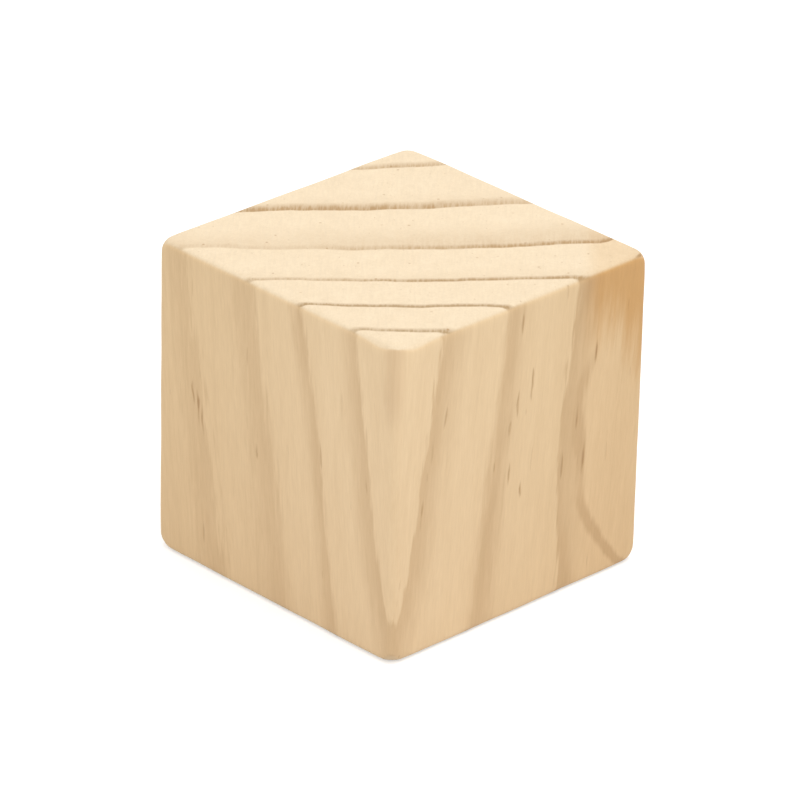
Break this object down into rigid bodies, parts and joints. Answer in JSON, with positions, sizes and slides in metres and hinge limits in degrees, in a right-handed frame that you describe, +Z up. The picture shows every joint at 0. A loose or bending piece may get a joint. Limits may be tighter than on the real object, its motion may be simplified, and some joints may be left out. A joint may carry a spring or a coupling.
{
  "type": "wooden cube",
  "caption": "Plain solid cube of bare pine with lightly sanded edges, for stacking, building, craft work or as a small spacer block.",
  "frame": {"origin": "middle of the end-grain face that the cube stands on", "axes": "+Z up along the grain, X and Y along the cube's edges"},
  "size_m": [0.03, 0.03, 0.03],
  "materials": {
    "bare_pine": "bare sanded softwood, not varnished, growth rings showing"
  },
  "bodies": {
    "root": {"wooden_cube": "bare_pine"}
  },
  "joints": []
}
